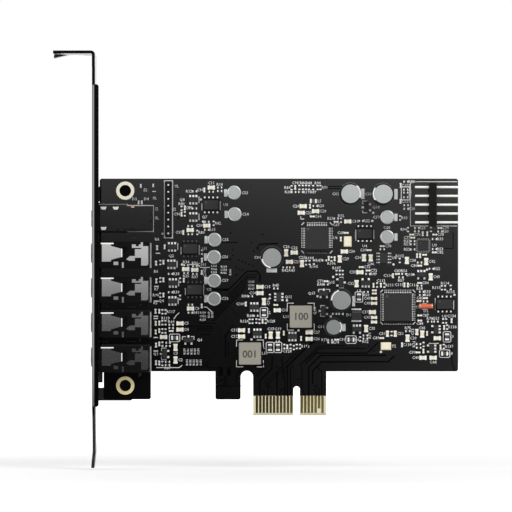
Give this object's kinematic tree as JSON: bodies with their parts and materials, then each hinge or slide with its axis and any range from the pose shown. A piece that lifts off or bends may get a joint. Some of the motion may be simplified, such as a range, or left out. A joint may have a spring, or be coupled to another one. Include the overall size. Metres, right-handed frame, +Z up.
{
  "type": "expansion sound card",
  "caption": "Half-height audio expansion card with an edge connector, round audio jacks and small electronic parts on a black board, fixed to a full-height steel slot bracket.",
  "frame": {"origin": "middle of the edge connector's key notch, at the connector's lower edge and halfway through the board", "axes": "+X from the bracket along the board, +Z up away from the connector, -Y towards the side that carries the parts"},
  "size_m": [0.117, 0.0184, 0.12],
  "materials": {
    "black_steel": "black coated sheet steel, slightly glossy",
    "solder_mask": "black solder mask over glass-fibre board",
    "gold_plate": "thin gold plating",
    "black_screw": "black oxide",
    "black_moulding": "moulded black plastic",
    "tinned_metal": "bright tin plating",
    "capacitor_can": "bare aluminium top in a dark sleeve",
    "chip_moulding": "dark moulding compound",
    "inductor_case": "beige-grey moulded case",
    "orange_glass": "orange glass sleeve",
    "ceramic": "tan ceramic with tinned ends",
    "jumper_body": "pale ceramic chip",
    "ferrite": "dark grey ferrite",
    "crystal_lid": "pale metal lid on a ceramic base"
  },
  "bodies": {
    "root": {"amplifier_chips": "chip_moulding", "amplifier_leads": "tinned_metal", "bracket": "black_steel", "bracket_screws": "black_screw", "capacitor_01": "capacitor_can", "capacitor_02": "capacitor_can", "capacitor_03": "capacitor_can", "capacitor_04": "capacitor_can", "capacitor_05": "capacitor_can", "capacitor_06": "capacitor_can", "capacitor_07": "capacitor_can", "capacitor_08": "capacitor_can", "capacitor_09": "capacitor_can", "capacitor_10": "capacitor_can", "capacitor_11": "capacitor_can", "capacitor_12": "capacitor_can", "capacitor_13": "capacitor_can", "ceramic_capacitors": "ceramic", "circuit_board": "solder_mask", "codec_chip": "chip_moulding", "codec_leads": "tinned_metal", "controller_chip": "chip_moulding", "controller_leads": "tinned_metal", "converter_chip": "chip_moulding", "converter_leads": "tinned_metal", "crystals": "crystal_lid", "edge_contacts": "gold_plate", "ferrite_beads": "ferrite", "glass_diode": "orange_glass", "glass_diode_caps": "tinned_metal", "jack_1_housing": "black_moulding", "jack_1_sleeve_contact": "tinned_metal", "jack_1_spring_contacts": "tinned_metal", "jack_2_housing": "black_moulding", "jack_2_sleeve_contact": "tinned_metal", "jack_2_spring_contacts": "tinned_metal", "jack_3_housing": "black_moulding", "jack_3_sleeve_contact": "tinned_metal", "jack_3_spring_contacts": "tinned_metal", "jack_4_housing": "black_moulding", "jack_4_sleeve_contact": "tinned_metal", "jack_4_spring_contacts": "tinned_metal", "jumper_chips": "jumper_body", "optical_port_housing": "black_moulding", "optical_port_tabs": "tinned_metal", "pin_header_body": "black_moulding", "pin_header_pins": "tinned_metal", "power_diode_body": "chip_moulding", "power_diode_straps": "tinned_metal", "power_inductors": "inductor_case", "receiver_chip": "chip_moulding", "regulator_chips": "chip_moulding", "regulator_leads": "tinned_metal", "slim_ceramics": "ceramic", "slim_header_body": "black_moulding", "slim_header_pins": "tinned_metal", "threaded_barrels": "gold_plate"}
  },
  "joints": []
}
